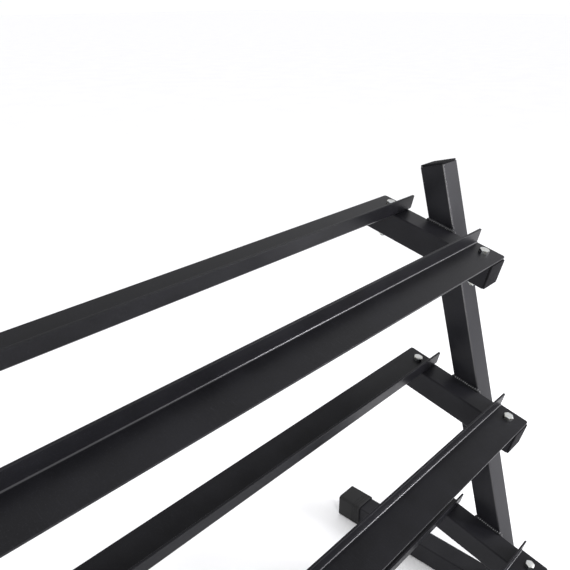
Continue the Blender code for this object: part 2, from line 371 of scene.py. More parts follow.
def flatten_shading(piece: bpy.types.Object) -> bpy.types.Object:
    """Give a piece normals that keep its flats flat beside their small rounds."""
    modifier = piece.modifiers.new("flat_faces", "WEIGHTED_NORMAL")
    modifier.keep_sharp = True
    return settle(piece)


def drill(piece: bpy.types.Object, cutter: bpy.types.Object) -> bpy.types.Object:
    """Take the cutter's shape out of a piece."""
    modifier = piece.modifiers.new("drill", "BOOLEAN")
    modifier.operation = "DIFFERENCE"
    modifier.solver = "EXACT"
    modifier.object = cutter
    return settle(piece)


def burnish(shape: bmesh.types.BMesh, faces: Iterable[bmesh.types.BMFace], along: int) -> None:
    """Give the rounded edges that run along a length the piece's second finish.

    Args:
        shape: The mesh.
        faces: The faces among which the rounded ones are looked for.
        along: Which axis the edges run along: 0, 1 or 2.
    """
    shape.normal_update()
    for face in faces:
        across = [abs(value) for axis, value in enumerate(face.normal) if axis != along]
        if min(across) > ROUNDED_SHARE:
            face.material_index = 1


def publish(piece: bpy.types.Object, nodes: Sequence[str] = ()) -> None:
    """Hand a finished piece to the frame.

    Args:
        piece: The piece, at the origin and without modifiers.
        nodes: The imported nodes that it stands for.
    """
    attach(piece, BODY)
    if nodes:
        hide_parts(*nodes)
    LOG.info("%s: %d faces for %d nodes", piece.name, len(piece.data.polygons), len(nodes))


# --- where things are -------------------------------------------------------------------------


def middle(node: str) -> Vector:
    """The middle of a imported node's box."""
    low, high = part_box(node)
    return (low + high) / 2


@dataclass(frozen=True)
class Layout:
    """The rack's directions and steps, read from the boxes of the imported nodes."""

    across: Vector
    tier_step: Vector
    station_step: Vector
    first_arm: Vector
    tube: float
    arm_length: float

    @classmethod
    def read(cls) -> "Layout":
        """Work the layout out.

        Returns:
            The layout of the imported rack.
        """
        bolt = middle("rail_bolt_bottom_front_left")
        station_step = middle("rail_bolt_bottom_rear_left") - bolt
        along = station_step.normalized()
        low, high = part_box("arm_bottom_left")
        tube = high.x - low.x
        arm_length = (high.y - low.y - tube * along.z) / along.y
        return cls(
            across=middle("arm_bottom_right") - middle("arm_bottom_left"),
            tier_step=middle("rail_bolt_middle_front_left") - bolt,
            station_step=station_step,
            first_arm=middle("arm_bottom_left"),
            tube=tube,
            arm_length=arm_length,
        )

    @property
    def along(self) -> Vector:
        """The direction up the slope of an arm, from front to back."""
        return self.station_step.normalized()

    @property
    def off(self) -> Vector:
        """The direction square to an arm's top face, upwards."""
        return RIGHTWARDS.cross(self.along)

    @property
    def up(self) -> Vector:
        """The direction up an upright."""
        return self.tier_step.normalized()

    @property
    def behind(self) -> Vector:
        """The direction square to an upright's front face, rearwards."""
        return self.up.cross(RIGHTWARDS)

    @property
    def lean(self) -> float:
        """How far an upright leans back."""
        return asin(self.up.y)

    def on_arm(self, along: float = 0.0, off: float = 0.0, tier: int = 0, side: float = 0.0) -> Vector:
        """A point on or near an arm.

        Args:
            along: How far up the slope from the arm's middle.
            off: How far off the arm's top face.
            tier: How many tiers up from the bottom one.
            side: 0 for the left end frame, 1 for the right, 0.5 for halfway.

        Returns:
            The point.
        """
        start = self.first_arm + self.tier_step * tier + self.across * side
        return start + self.along * along + self.off * (self.tube / 2 + off)

    def arm_axes(self, origin: Vector, turned: bool = False) -> Matrix:
        """Axes square to a tier: Y runs up the arm, or down it when turned, and Z stands off it.

        Args:
            origin: Where the axes meet.
            turned: Whether X and Y are turned half round.

        Returns:
            The matrix of those axes.
        """
        sign = -1.0 if turned else 1.0
        return axes(origin, RIGHTWARDS * sign, self.along * sign, self.off)


# --- repeated parts ---------------------------------------------------------------------------


@dataclass
class Rack:
    """Sets copies of one part over sides, stations and tiers with geometry nodes."""

    layout: Layout
    tree: bpy.types.NodeTree = field(init=False)

    def __post_init__(self) -> None:
        """Build the tree once."""
        self.tree = self.plant()

    @staticmethod
    def plant() -> bpy.types.NodeTree:
        """Build the tree that places, turns and dresses the copies.

        Returns:
            The tree.
        """
        tree, given = new_tree(
            "set_out_copies",
            {"Part": "Object", "Start": "Vector", "Finish": "Material"}
            | {count: "Int" for count in ("Sides", "Stations", "Tiers", "Seed")}
            | {step: "Vector" for step in ("Side Step", "Station Step", "Tier Step", "Turn")}
            | {"Loose Turn": "Float"},
        )
        feed = given.outputs
        points = None
        for count, step in (("Sides", "Side Step"), ("Stations", "Station Step"), ("Tiers", "Tier Step")):
            start = feed["Start"] if points is None else (0.0, 0.0, 0.0)
            line = add_node(
                tree,
                "GeometryNodeMeshLine",
                {"Count": feed[count], "Start Location": start, "Offset": feed[step]},
                mode="OFFSET",
            )
            if points is None:
                points = line.outputs[0]
                continue
            spread = add_node(
                tree, "GeometryNodeInstanceOnPoints", {"Points": points, "Instance": line.outputs[0]}
            )
            real = add_node(tree, "GeometryNodeRealizeInstances", {"Geometry": spread.outputs[0]})
            points = real.outputs[0]
        least = add_node(tree, "ShaderNodeMath", {0: feed["Loose Turn"], 1: -1.0}, operation="MULTIPLY")
        chance = add_node(
            tree,
            "FunctionNodeRandomValue",
            {2: least.outputs[0], 3: feed["Loose Turn"], 8: feed["Seed"]},
            data_type="FLOAT",
        )
        loose = add_node(
            tree,
            "FunctionNodeAxisAngleToRotation",
            {"Axis": (0.0, 0.0, 1.0), "Angle": chance.outputs[1]},
        )
        turn = add_node(tree, "FunctionNodeEulerToRotation", {"Euler": feed["Turn"]})
        both = add_node(
            tree,
            "FunctionNodeRotateRotation",
            {"Rotation": turn.outputs[0], "Rotate By": loose.outputs[0]},
            rotation_space="LOCAL",
        )
        part = add_node(tree, "GeometryNodeObjectInfo", {"Object": feed["Part"]})
        copies = add_node(
            tree,
            "GeometryNodeInstanceOnPoints",
            {"Points": points, "Instance": part.outputs["Geometry"], "Rotation": both.outputs[0]},
        )
        end_tree(tree, copies.outputs[0], feed["Finish"])
        return tree

    def set_out(
        self,
        name: str,
        part: bpy.types.Object,
        start: Matrix,
        finish: bpy.types.Material | None,
        stations: int = 1,
        tiers: int = 1,
        across: Vector | None = None,
        loose_turn: float = 0.0,
        seed: int = 0,
    ) -> bpy.types.Object:
        """Copy a part over both end frames, and over stations and tiers.

        Args:
            name: The new piece's name.
            part: The part, drawn about the origin; it is removed afterwards.
            start: The place of the first copy.
            finish: The material of the copies.
            stations: How many copies along an arm.
            tiers: How many tiers.
            across: The step from the left copy to the right one, or None for the arms' own.
            loose_turn: How far each copy may be turned about its own axis, either way.
            seed: The seed of those turns.

        Returns:
            One piece that holds all the copies.
        """
        host = make_piece(name, bmesh.new())
        values = {
            "Part": part,
            "Start": start.translation,
            "Sides": len(Side),
            "Side Step": across or self.layout.across,
            "Stations": stations,
            "Station Step": self.layout.station_step,
            "Tiers": tiers,
            "Tier Step": self.layout.tier_step,
            "Turn": Vector(start.to_euler()),
            "Loose Turn": loose_turn,
            "Seed": seed,
            "Finish": finish,
        }
        grow(host, self.tree, values)
        discard(part)
        return host


# --- end frames -------------------------------------------------------------------------------


@dataclass(frozen=True)
class BoxSection:
    """Seam-welded square steel tube: 40 x 40 x 1.5 mm with rolled corners."""

    size: float = 40 * MM
    wall: float = 1.5 * MM
    corner: float = 2.5 * MM
    deburr: float = 0.4 * MM

    def cut(self, length: float, mitre: float = 0.0) -> bmesh.types.BMesh:
        """A length of tube along local Z with its cut edges eased.

        Args:
            length: The length of its front face, the one at -Y.
            mitre: The angle that the lower end is cut at, 0 for square.

        Returns:
            The solid wall of the tube.
        """
        outer = rounded_square(self.size, self.corner)
        eased = rounded_square(self.size - 2 * self.deburr, self.corner - self.deburr)
        bore = rounded_square(self.size - 2 * self.wall, self.corner - self.wall)
        shape = skin(
            [
                lift(eased, 0.0),
                lift(outer, self.deburr),
                lift(outer, length - self.deburr),
                lift(eased, length),
                lift(bore, length),
                lift(bore, 0.0),
            ],
            endless=True,
        )
        for vertex in shape.verts:
            if vertex.co.z < length / 2:
                vertex.co.z += (vertex.co.y + self.size / 2) * tan(mitre)
        return shape


@dataclass
class EndFrames:
    """The two welded end frames: a leaning upright, a level foot and three arms each."""

    layout: Layout
    coat: bpy.types.Material
    corner_coat: bpy.types.Material
    cutter: bpy.types.Object
    tube: BoxSection = BoxSection()

    def build(self) -> None:
        """Build and dress every tube of both frames."""
        for side in Side:
            self.upright(side)
            self.foot(side)
            for tier in Tier:
                self.arm(tier, side)

    def dress(self, piece: bpy.types.Object, node: str, *others: bpy.types.Material) -> None:
        """Coat a tube, its other finishes after the first, and hand it over in place of its node."""
        for finish in (self.coat, *others):
            piece.data.materials.append(finish)
        publish(flatten_shading(piece), [node])

    def upright(self, side: Side) -> None:
        """One upright, cut level at its foot and square at its top."""
        node = f"upright_{side.value}"
        low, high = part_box(node)
        front_foot = Vector(((low.x + high.x) / 2, low.y, low.z))
        length = (high.z - low.z) / cos(self.layout.lean)
        start = front_foot + self.layout.behind * (self.tube.size / 2)
        place = axes(start, RIGHTWARDS, self.layout.behind, self.layout.up)
        shape = self.tube.cut(length, self.layout.lean)
        burnish(shape, shape.faces, along=2)
        self.dress(make_piece(f"{node}_tube", shape, place), node, self.corner_coat)

    def foot(self, side: Side) -> None:
        """One foot, level from front to back."""
        node = f"foot_{side.value}"
        low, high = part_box(node)
        start = Vector(((low.x + high.x) / 2, low.y, (low.z + high.z) / 2))
        place = axes(start, RIGHTWARDS, Vector((0, 0, -1)), Vector((0, 1, 0)))
        self.dress(make_piece(f"{node}_tube", self.tube.cut(high.y - low.y), place), node)

    def arm(self, tier: Tier, side: Side) -> None:
        """One sloping arm, drilled right through for its two rail bolts."""
        node = f"arm_{tier.value}_{side.value}"
        length = self.layout.arm_length
        start = middle(node) - self.layout.along * (length / 2)
        place = axes(start, -RIGHTWARDS, self.layout.off, self.layout.along)
        piece = make_piece(f"{node}_tube", self.tube.cut(length), place)
        self.dress(drill(piece, self.cutter), node)


# --- rails ------------------------------------------------------------------------------------


@dataclass(frozen=True)
class SheetStation:
    """One place across a folded sheet: its middle, its normal, its thickness and its end."""

    centre: Vector
    normal: Vector
    half_thickness: float
    setback: float


@dataclass
class Rails:
    """The six rails: 3 mm sheet folded to an angle, with rounded corners and eased edges."""

    layout: Layout
    coat: bpy.types.Material
    fold_coat: bpy.types.Material
    cutter: bpy.types.Object
    flat: float = 50 * MM
    upstand: float = 25 * MM
    thickness: float = 3 * MM
    bend: float = 5 * MM
    bend_steps: int = 8
    flat_corner: float = 4 * MM
    upstand_corner: float = 2 * MM
    edge_round: float = 0.5 * MM
    edge_steps: int = 3
    # A rounded corner is drawn from this many edge rounds in, clear of the eased edge's steps.
    corner_start: float = 1.3
    gap_below: float = 0.3 * MM

    def build(self) -> None:
        """Build and dress the two rails of each tier."""
        for index, tier in enumerate(Tier):
            for end in End:
                self.rail(index, tier, end)

    def rail(self, index: int, tier: Tier, end: End) -> None:
        """One rail, with its upstand towards the other rail of its tier.

        Args:
            index: How many tiers up from the bottom one.
            tier: Which tier.
            end: Front or rear.
        """
        node = f"rail_{tier.value}_{end.value}"
        low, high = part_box(node)
        outwards = 1.0 if end is End.REAR else -1.0
        free_edge = outwards * (self.layout.station_step.length / 2 + self.flat / 2)
        origin = self.layout.on_arm(free_edge, self.gap_below, index, 0.5)
        place = self.layout.arm_axes(origin, turned=end is End.REAR)
        shape = self.sheet(high.x - low.x)
        centres = ((face, face.calc_center_median()) for face in shape.faces)
        folded = [face for face, at in centres if at.y > self.flat - self.bend and at.z < self.bend]
        burnish(shape, folded, along=0)
        piece = make_piece(f"{node}_sheet", shape, place)
        for finish in (self.coat, self.fold_coat):
            piece.data.materials.append(finish)
        publish(flatten_shading(drill(piece, self.cutter)), [node])

    def stations(self) -> list[SheetStation]:
        """Places across the sheet from the flat's free edge to the upstand's.

        Returns:
            The places, close together where the sheet is rounded.
        """
        half = self.thickness / 2
        made = []
        for distance in self.corner_distances(self.flat_corner):
            made.append(self.station(Vector((distance, half)), 0.0, distance, self.flat_corner))
        mid_radius = self.bend - half
        fold = Vector((self.flat - self.bend, self.bend))
        for step in range(self.bend_steps + 1):
            angle = step / self.bend_steps * pi / 2
            centre = fold + Vector((sin(angle), -cos(angle))) * mid_radius
            made.append(self.station(centre, angle, self.flat, self.flat_corner))
        for distance in reversed(self.corner_distances(self.upstand_corner)):
            centre = Vector((self.flat - half, self.upstand - distance))
            made.append(self.station(centre, pi / 2, distance, self.upstand_corner))
        return made

    def corner_distances(self, corner: float) -> list[float]:
        """Distances from a free edge that draw its eased edge and its rounded corner.

        Args:
            corner: The radius of the corner in plan.

        Returns:
            The distances, growing.
        """
        eased = [inset for inset, _ in quarter_round(self.edge_round, self.edge_steps)]
        start = self.corner_start * self.edge_round
        return eased + [inset for inset, _ in quarter_round(corner, CORNER_STEPS) if inset > start]

    def station(self, centre: Vector, angle: float, distance: float, corner: float) -> SheetStation:
        """One place across the sheet.

        Args:
            centre: The middle of the sheet there, in the section's plane.
            angle: How far the sheet has turned from the flat.
            distance: How far the place is from the nearer free edge.
            corner: The radius of that edge's corners in plan.

        Returns:
            The place.
        """
        return SheetStation(
            centre=centre,
            normal=Vector((sin(angle), -cos(angle))),
            half_thickness=self.thickness / 2 - fall(self.edge_round, distance),
            setback=fall(corner, distance),
        )

    def sheet(self, length: float) -> bmesh.types.BMesh:
        """A rail along local X: the flat lies on z = 0 from y = 0, and the upstand rises at its end.

        Args:
            length: How long it is.

        Returns:
            The solid sheet.
        """
        stations = self.stations()
        eases = [inset for inset, _ in quarter_round(self.edge_round, self.edge_steps)]
        slices = [(-1.0, ease) for ease in eases] + [(1.0, ease) for ease in reversed(eases)]
        rings = []
        for sign, ease in slices:
            thinner = fall(self.edge_round, ease)
            loop = []
            for face in (1.0, -1.0):
                for station in stations if face > 0 else reversed(stations):
                    half = max(station.half_thickness - thinner, self.edge_round)
                    point = station.centre + station.normal * (face * half)
                    end = sign * (length / 2 - station.setback - ease)
                    loop.append(Vector((end, point.x, point.y)))
            rings.append(loop)
        return skin(rings, strips=True)


# --- fasteners --------------------------------------------------------------------------------


@dataclass
class Fasteners:
    """M8 hexagon bolts through rail and arm, with flange nuts below."""

    layout: Layout
    rack: Rack
    zinc: bpy.types.Material
    flats: float = 13 * MM
    head_height: float = 5.3 * MM
    thread_radius: float = 4 * MM
    pitch: float = 1.25 * MM
    thread_depth: float = 0.72 * MM
    thread_length: float = 17 * MM
    bolt_length: float = 55 * MM
    hole_radius: float = 4.5 * MM
    nut_height: float = 8 * MM
    nut_flange_radius: float = 8.75 * MM
    nut_flange_height: float = 1.6 * MM
    chamfer_slope: float = tan(radians(30.0))
    crown: float = 0.95
    seat_height: float = 3.4 * MM
    loose_turn: float = radians(30.0)
    gap_below: float = 0.1 * MM
    bolt_seed: int = 4
    nut_seed: int = 9
    # How the nut's seat and its bore are eased, and how its flange slopes down to the hexagon.
    seat_inset: float = 0.5 * MM
    seat_ease: float = 0.4 * MM
    flange_edge: float = 1.0 * MM
    flange_slope: float = 0.4 * MM
    bore_gap: float = 0.15 * MM
    mouth_gap: float = 0.6 * MM
    mouth_depth: float = 0.5 * MM
    # Rings to each turn of the thread; its flanks' slope, cut off at its root; its tip's slope.
    rings_per_pitch: int = 8
    flank_slope: float = 1.4
    root_cut: float = 0.15
    tip_slope: float = 0.6

    def hexagon(self, angle: float) -> float:
        """The radius of the hexagon's outline at an angle."""
        return self.flats / 2 / cos((angle + pi / 6) % (pi / 3) - pi / 6)

    def hexagon_top(self, height: float) -> Callable[[Vector], float]:
        """The height of the hexagon's chamfered rim over a point of its outline.

        Args:
            height: The height of the flat end.

        Returns:
            A function of the outline's point.
        """
        crown = self.flats / 2 * self.crown
        return lambda point: height - (point.length - crown) * self.chamfer_slope

    def build(self) -> None:
        """Build and dress every bolt and nut."""
        under_arm = -self.layout.tube - self.gap_below
        for stem, part, off, seed in (
            ("bolt", self.bolt(), self.seat_height, self.bolt_seed),
            ("nut", self.nut(), under_arm, self.nut_seed),
        ):
            turns = {"loose_turn": self.loose_turn, "seed": seed}
            copies = self.over_arms(f"rail_{stem}s_zinc", part, off, self.zinc, **turns)
            publish(copies, names(f"rail_{stem}", Tier, End, Side))

    def over_arms(
        self,
        name: str,
        part: bpy.types.Object,
        off: float,
        finish: bpy.types.Material | None,
        **turns: float,
    ) -> bpy.types.Object:
        """Copy a part over the middle of every rail's seat on every arm.

        Args:
            name: The new piece's name.
            part: The part.
            off: How far off the arms' top faces it goes.
            finish: The material of the copies, or None.
            turns: How far each copy may be turned, and the seed of those turns.

        Returns:
            One piece that holds all the copies.
        """
        first = -self.layout.station_step.length / 2
        start = self.layout.arm_axes(self.layout.on_arm(first, off))
        return self.rack.set_out(name, part, start, finish, len(End), len(Tier), **turns)

    def holes(self) -> bpy.types.Object:
        """All the bolt holes as one cutter.

        Returns:
            The cutter, to be discarded once the holes are drilled.
        """
        reach = 2 * self.layout.tube
        drilled = skin([lift(ring(self.hole_radius), -reach), lift(ring(self.hole_radius), reach)])
        return self.over_arms("bolt_holes", make_piece("bolt_hole", drilled), -self.layout.tube / 2, None)

    def bolt(self) -> bpy.types.Object:
        """A bolt about local Z: its head stands on z = 0 and its shank hangs below.

        Returns:
            The bolt.
        """
        outline = ring(self.hexagon)
        rings = self.thread_rings()
        rings.append(lift(ring(self.thread_radius), -self.bolt_length + self.thread_length))
        rings.append(lift(ring(self.thread_radius), 0.0))
        rings.append(lift(outline, 0.0))
        rings.append(lift(outline, self.hexagon_top(self.head_height)))
        rings.append(lift(ring(self.flats / 2 * self.crown), self.head_height))
        return make_piece("bolt", skin(rings))

    def thread_rings(self) -> list[list[Vector]]:
        """Rings of the rolled thread, from the bolt's chamfered tip upwards.

        Returns:
            The rings, each rising and falling with the helix.
        """
        count = round(self.thread_length / self.pitch * self.rings_per_pitch)
        made = []
        for step in range(count):
            above_tip = step / self.rings_per_pitch * self.pitch
            lead = min(above_tip, self.pitch)

            def reach(angle: float, above_tip: float = above_tip, lead: float = lead) -> float:
                """The radius of the thread at this height and angle."""
                phase = (above_tip / self.pitch - angle / (2 * pi)) % 1.0
                flank = min(max(self.flank_slope * abs(2 * phase - 1) - self.root_cut, 0.0), 1.0)
                full = self.thread_radius - self.thread_depth * (1 - flank)
                start = self.thread_radius - self.thread_depth + lead * self.tip_slope
                return min(full, start)

            made.append(lift(ring(reach), above_tip - self.bolt_length))
        return made

    def nut(self) -> bpy.types.Object:
        """A flange nut below z = 0 with its flange uppermost.

        Returns:
            The nut.
        """
        outline = ring(self.hexagon)
        bore = ring(self.thread_radius + self.bore_gap)
        seat = ring(self.nut_flange_radius - self.seat_inset)
        rise = self.hexagon_top(self.nut_height)
        shape = skin(
            [
                lift(bore, 0.0),
                lift(seat, 0.0),
                lift(ring(self.nut_flange_radius), -self.seat_ease),
                lift(ring(self.nut_flange_radius), -self.flange_edge),
                lift(outline, -self.nut_flange_height - self.flange_slope),
                lift(outline, lambda point: -rise(point)),
                lift(ring(self.flats / 2 * self.crown), -self.nut_height),
                lift(ring(self.thread_radius + self.mouth_gap), -self.nut_height),
                lift(bore, -self.nut_height + self.mouth_depth),
            ],
            endless=True,
        )
        return make_piece("nut", shape)


# --- caps and boots ---------------------------------------------------------------------------


@dataclass
class Plugs:
    """Push-in caps in the ends of the arms and the tops of the uprights."""

    layout: Layout
    rack: Rack
    plastic: bpy.types.Material
    tube: BoxSection = BoxSection()
    size: float = 38.8 * MM
    corner: float = 2.4 * MM
    flange: float = 3 * MM
    edge_round: float = 1.2 * MM
    seat_gap: float = 0.5 * MM
    plug_depth: float = 14 * MM
    plug_wall: float = 2 * MM
    fins: int = 3
    fin_height: float = 0.8 * MM
    fin_spread: float = 0.5 * MM
    clearance: float = 0.4 * MM
    core_corner: float = 1.2 * MM
    hollow_corner: float = 0.6 * MM
    face_rise: float = 0.2 * MM
    round_steps: int = 5

    def build(self) -> None:
        """Build and dress every cap."""
        reach = self.layout.arm_length / 2
        along, off = self.layout.along, self.layout.off
        axis_depth = -self.layout.tube / 2
        for end, sign in ((End.FRONT, -1.0), (End.REAR, 1.0)):
            seat = self.layout.on_arm(sign * reach, axis_depth)
            place = axes(seat, RIGHTWARDS * -sign, off, along * sign)
            name = f"arm_{end.value}_plugs"
            caps = self.rack.set_out(name, self.plug(), place, self.plastic, tiers=len(Tier))
            publish(caps, names(f"arm_cap_{end.value}", Tier, Side))
        low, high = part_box("upright_left")
        top_y = low.y + (high.z - low.z) * tan(self.layout.lean)
        top_front = Vector(((low.x + high.x) / 2, top_y, high.z))
        seat = top_front + self.layout.behind * (self.tube.size / 2)
        place = axes(seat, RIGHTWARDS, self.layout.behind, self.layout.up)
        across = middle("upright_right") - middle("upright_left")
        caps = self.rack.set_out("upright_plugs", self.plug(), place, self.plastic, across=across)
        publish(caps, names("upright_cap", Side))

    def plug(self) -> bpy.types.Object:
        """A cap along local Z, whose tube ends at z = 0, with its finned plug below.

        Returns:
            The cap.
        """
        inner = self.tube.size - 2 * self.tube.wall
        core_size = inner - 2 * self.fin_height - self.clearance
        core = rounded_square(core_size, self.core_corner)
        hollow = rounded_square(core_size - 2 * self.plug_wall, self.hollow_corner)
        tip = rounded_square(inner - self.clearance, self.tube.corner - self.tube.wall)
        rings = [lift(hollow, self.seat_gap), lift(hollow, -self.plug_depth), lift(core, -self.plug_depth)]
        spacing = self.plug_depth / (self.fins + 1)
        for fin in range(self.fins, 0, -1):
            foot = -fin * spacing
            rings.append(lift(core, foot - self.fin_spread))
            rings.append(lift(tip, foot))
            rings.append(lift(core, foot + self.fin_spread))
        rings.append(lift(core, self.seat_gap))
        rings.extend(self.flange_rings())
        return make_piece("plug", skin(rings))

    def flange_rings(self) -> list[list[Vector]]:
        """Rings of the flange, up to its softly rounded and slightly raised face.

        Returns:
            The rings.
        """
        made = [lift(rounded_square(self.size, self.corner), self.seat_gap)]
        for inset, below in quarter_round(self.edge_round, self.round_steps):
            height = self.flange + self.face_rise - below
            made.append(lift(rounded_square(self.size - 2 * inset, self.corner - inset), height))
        return made


@dataclass
class Boots:
    """Moulded rubber boots over the ends of the feet, with a thicker sole and grip grooves."""

    layout: Layout
    rack: Rack
    rubber: bpy.types.Material
    tube: BoxSection = BoxSection()
    fit: float = 0.3 * MM
    wall: float = 3 * MM
    sole: float = 4 * MM
    length: float = 50 * MM
    edge_round: float = 1.4 * MM
    grooves: int = 3
    groove_pitch: float = 5 * MM
    groove_width: float = 1.6 * MM
    groove_depth: float = 0.7 * MM
    # Where the floor of a groove starts and ends, as shares of the groove's width.
    groove_floor: tuple[float, float] = (0.3, 0.7)
    lip: float = 0.8 * MM
    round_steps: int = 4

    def build(self) -> None:
        """Build and dress the four boots, the front pair and the rear pair."""
        foot_low, foot_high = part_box("foot_left")
        across = middle("foot_right") - middle("foot_left")
        for end, sign in ((End.FRONT, -1.0), (End.REAR, 1.0)):
            tube_end = foot_low.y if end is End.FRONT else foot_high.y
            seat = middle("foot_left")
            seat.y = tube_end + sign * self.fit
            place = axes(seat, RIGHTWARDS * -sign, Vector((0, 0, 1)), Vector((0, sign, 0)))
            name = f"foot_boots_{end.value}"
            boots = self.rack.set_out(name, self.boot(), place, self.rubber, across=across)
            publish(boots, names(f"foot_boot_{end.value}", Side))

    def outline(self, inset: float) -> list[Vector]:
        """The boot's outside, drawn in by the inset, with the thicker sole at -Y."""
        size = self.tube.size + 2 * (self.fit + self.wall - inset)
        corner = max(self.tube.corner + self.fit + self.wall - inset, self.tube.corner)
        extra = self.sole - self.wall
        return [
            Vector((point.x, point.y - extra if point.y < 0 else point.y))
            for point in rounded_square(size, corner)
        ]

    def boot(self) -> bpy.types.Object:
        """A boot whose pocket opens towards -Z, its closed end just above z = 0.

        Returns:
            The boot.
        """
        pocket = rounded_square(self.tube.size + 2 * self.fit, self.tube.corner + self.fit)
        mouth = self.wall - self.length
        rings = [lift(pocket, 0.0), lift(pocket, mouth + self.lip)]
        rings.append(lift(self.outline(self.wall - self.lip), mouth))
        rings.append(lift(self.outline(self.lip), mouth))
        rings.append(lift(self.outline(0.0), mouth + self.lip))
        for groove in range(self.grooves):
            start = mouth + self.groove_pitch * (groove + 1)
            for share in (0.0, *self.groove_floor, 1.0):
                inset = self.groove_depth if share in self.groove_floor else 0.0
                rings.append(lift(self.outline(inset), start + share * self.groove_width))
        for inset, below in quarter_round(self.edge_round, self.round_steps):
            rings.append(lift(self.outline(inset), self.wall - below))
        return make_piece("boot", skin(rings))


# --- welds ------------------------------------------------------------------------------------


